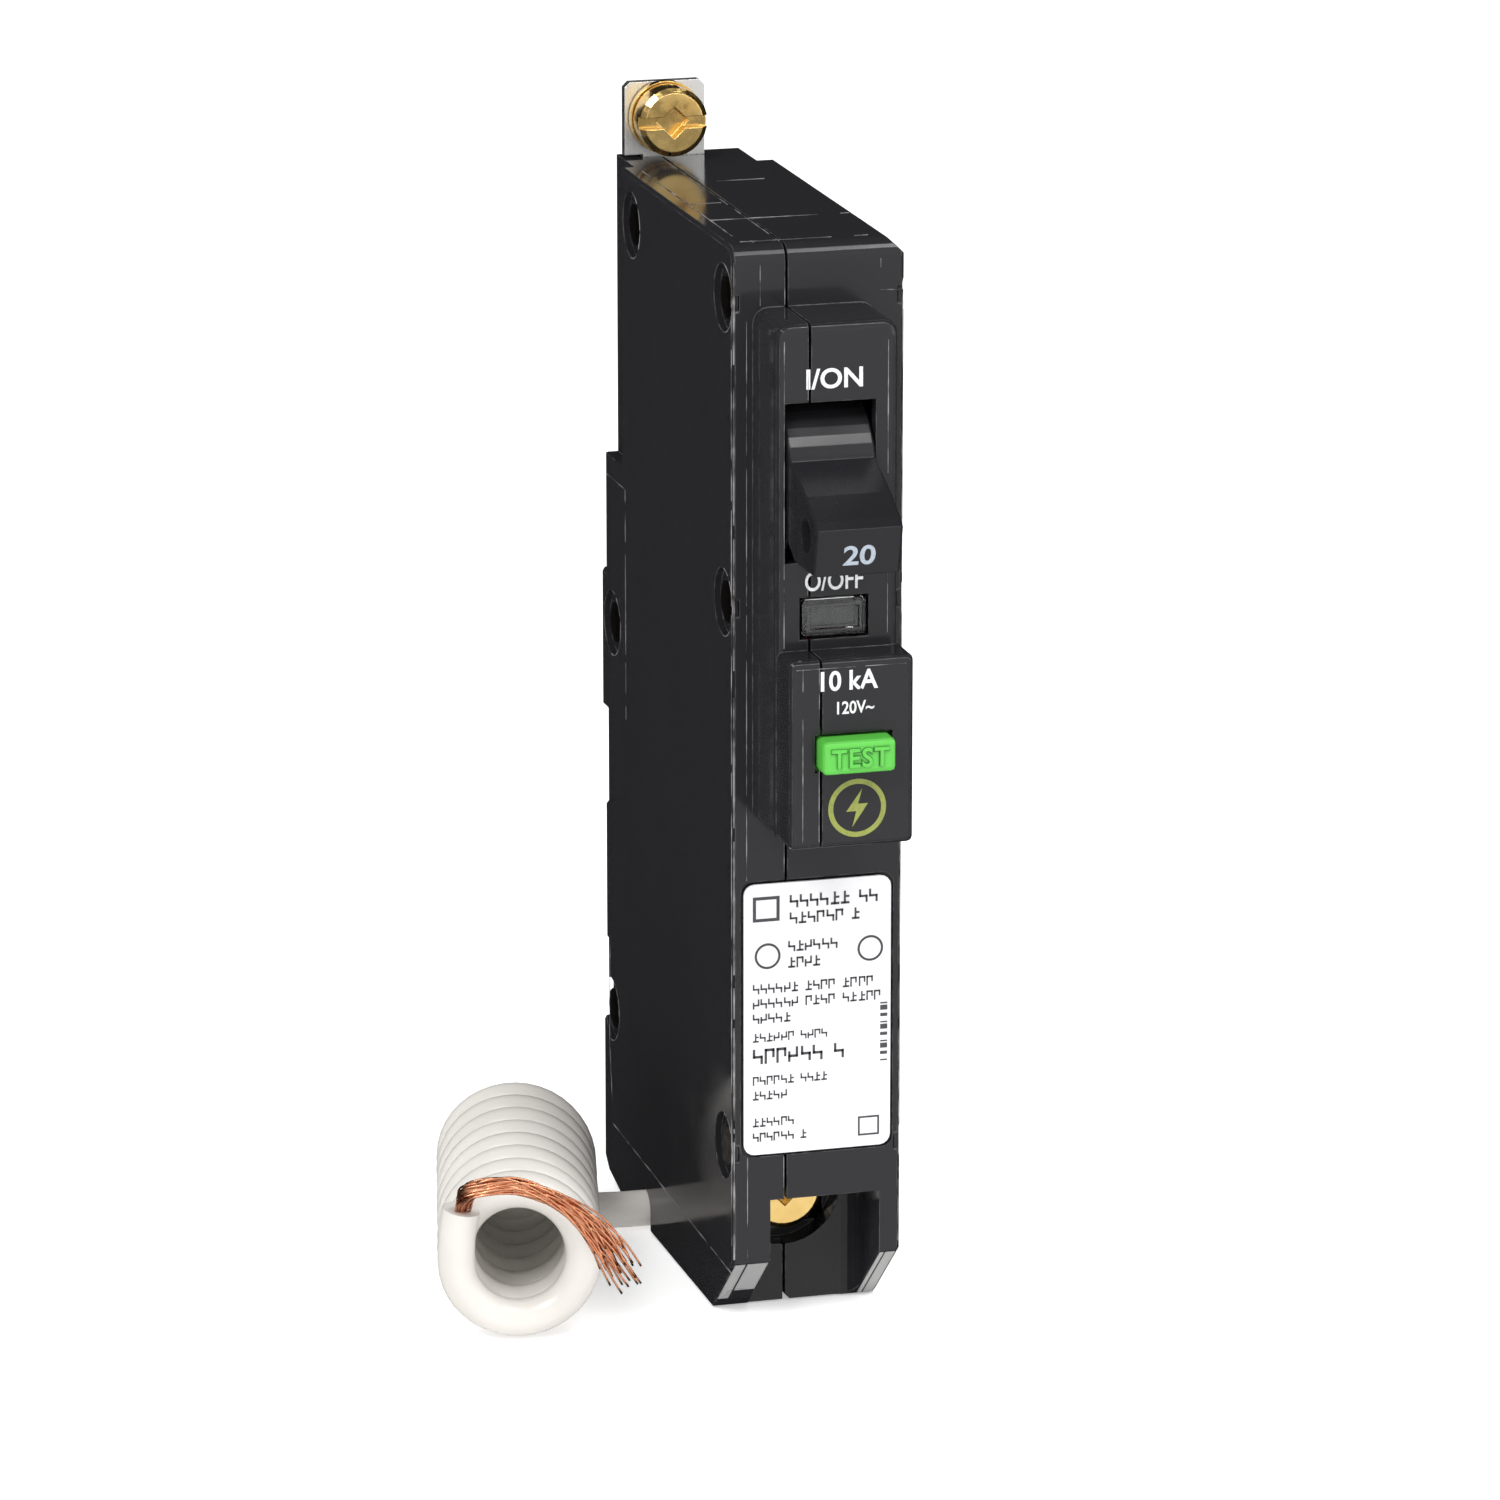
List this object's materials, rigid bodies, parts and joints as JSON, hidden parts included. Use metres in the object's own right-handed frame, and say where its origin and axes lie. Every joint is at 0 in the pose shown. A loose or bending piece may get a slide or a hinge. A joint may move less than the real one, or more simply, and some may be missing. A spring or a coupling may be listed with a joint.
{
  "type": "circuit breaker",
  "caption": "Narrow one-pole bolt-on circuit breaker with toggle handle, test button, screw terminals and a coiled neutral pigtail.",
  "frame": {"origin": "centre of the case's width and depth on the flat load-end face that it stands on", "axes": "+Z from the load end to the line end, -Y out of the handle's face, +X to the right seen from the handle's side"},
  "size_m": [0.0512, 0.076, 0.1297],
  "materials": {
    "case_black": "moulded thermoset, semi-gloss, fine scratches",
    "handle_black": "moulded, satin gloss",
    "steel": "zinc-plated, satin",
    "dark_steel": "black-oxide rivets, dull",
    "brass": "yellow passivated brass, bright",
    "tin_plate": "tin-plated copper, satin",
    "copper": "bare copper",
    "silver": "silver alloy contact",
    "fibre": "red vulcanised fibre",
    "label_white": "printed paper label, satin varnish",
    "clear_lens": "clear polycarbonate",
    "flag_red": "moulded red",
    "button_green": "moulded bright green",
    "board_green": "solder mask",
    "chip_black": "epoxy",
    "capacitor_blue": "sleeved",
    "varistor_blue": "dipped",
    "winding": "enamelled wire winding",
    "wire_white": "white thermoplastic insulation, satin",
    "gland_grey": "black grommet"
  },
  "bodies": {
    "case": {"left_cover": "case_black", "right_base": "case_black", "label": "label_white", "line_strap": "tin_plate", "handle_pin": "steel", "trip_window": "clear_lens", "test_spring": "steel", "test_contact": "brass", "fixed_contact": "silver", "arm_pin": "steel", "toggle_spring": "steel", "cradle_pin": "steel", "magnet_yoke": "steel", "bimetal": "steel", "braid": "copper", "calibration_screw": "brass", "arc_side_left": "fibre", "arc_side_right": "fibre", "load_busbar": "copper", "load_lug": "tin_plate", "circuit_board": "board_green", "control_chip": "chip_black", "capacitor": "capacitor_blue", "varistor": "varistor_blue", "sensor_core": "winding", "solenoid_frame": "steel", "solenoid_coil": "copper", "pigtail_gland": "gland_grey", "pigtail_lead": "wire_white", "pigtail_coil": "wire_white", "pigtail_strands": "copper", "rivet_1": "dark_steel", "rivet_2": "dark_steel", "rivet_3": "dark_steel", "rivet_4": "dark_steel", "rivet_5": "dark_steel", "rivet_6": "dark_steel", "arc_plate_1": "steel", "arc_plate_2": "steel", "arc_plate_3": "steel", "arc_plate_4": "steel", "arc_plate_5": "steel"},
    "handle": {"handle": "handle_black"},
    "contact_arm": {"contact_arm": "copper", "moving_contact": "silver"},
    "cradle": {"cradle": "steel"},
    "armature": {"armature": "steel"},
    "plunger": {"solenoid_plunger": "steel"},
    "trip_flag": {"trip_flag": "flag_red"},
    "test_button": {"test_button": "button_green"},
    "line_washer": {"line_washer": "brass"},
    "line_screw": {"line_screw": "brass"},
    "load_clamp": {"load_clamp": "brass"},
    "load_screw": {"load_screw": "brass"}
  },
  "joints": [
    {"name": "handle_toggle", "type": "hinge", "parent": "case", "child": "handle", "pos_m": [-0.00128, -0.0299, 0.097], "axis": [-1, 0, 0], "range_deg": [-4, 40]},
    {"name": "contact_close", "type": "hinge", "parent": "case", "child": "contact_arm", "pos_m": [-0.00052, -0.0154, 0.097], "axis": [1, 0, 0], "range_deg": [-0.9, 8.5], "deforming": ["toggle_spring", "braid"]},
    {"name": "cradle_trip", "type": "hinge", "parent": "case", "child": "cradle", "pos_m": [-0.00052, -0.0119, 0.085], "axis": [-1, 0, 0], "range_deg": [0, 12]},
    {"name": "armature_tilt", "type": "hinge", "parent": "case", "child": "armature", "pos_m": [-0.00052, 0.0091, 0.062], "axis": [-1, 0, 0], "range_deg": [0, 5]},
    {"name": "plunger_pull", "type": "slide", "parent": "case", "child": "plunger", "axis": [0, -1, 0], "range_m": [0, 0.0019]},
    {"name": "flag_rise", "type": "slide", "parent": "case", "child": "trip_flag", "axis": [0, 0, 1], "range_m": [0, 0.0047]},
    {"name": "test_press", "type": "slide", "parent": "case", "child": "test_button", "axis": [0, 1, 0], "range_m": [0, 0.0015], "stiffness_N_per_m": 300, "springref_m": -0.002, "deforming": ["test_spring"]},
    {"name": "line_washer_travel", "type": "slide", "parent": "case", "child": "line_washer", "axis": [0, -1, 0], "range_m": [0, 0.0017]},
    {"name": "line_screw_turn", "type": "hinge", "parent": "line_washer", "child": "line_screw", "pos_m": [-0.00323, 0.0211, 0.1256], "axis": [0, -1, 0], "range_deg": [0, 720]},
    {"name": "load_clamp_travel", "type": "slide", "parent": "case", "child": "load_clamp", "axis": [0, 1, 0], "range_m": [0, 0.0017]},
    {"name": "load_screw_turn", "type": "hinge", "parent": "load_clamp", "child": "load_screw", "pos_m": [-0.00103, -0.0168, 0.0128], "axis": [0, 1, 0], "range_deg": [0, 720]}
  ],
  "couplings": [
    {"joint": "contact_close", "follows": "handle_toggle", "ratio": 0.21},
    {"joint": "armature_tilt", "follows": "cradle_trip", "ratio": 0.4},
    {"joint": "plunger_pull", "follows": "cradle_trip", "m_per_rad": 0.008594},
    {"joint": "flag_rise", "follows": "cradle_trip", "m_per_rad": 0.021963},
    {"joint": "line_washer_travel", "follows": "line_screw_turn", "m_per_rad": 0.00012732},
    {"joint": "load_clamp_travel", "follows": "load_screw_turn", "m_per_rad": 0.00012732}
  ]
}
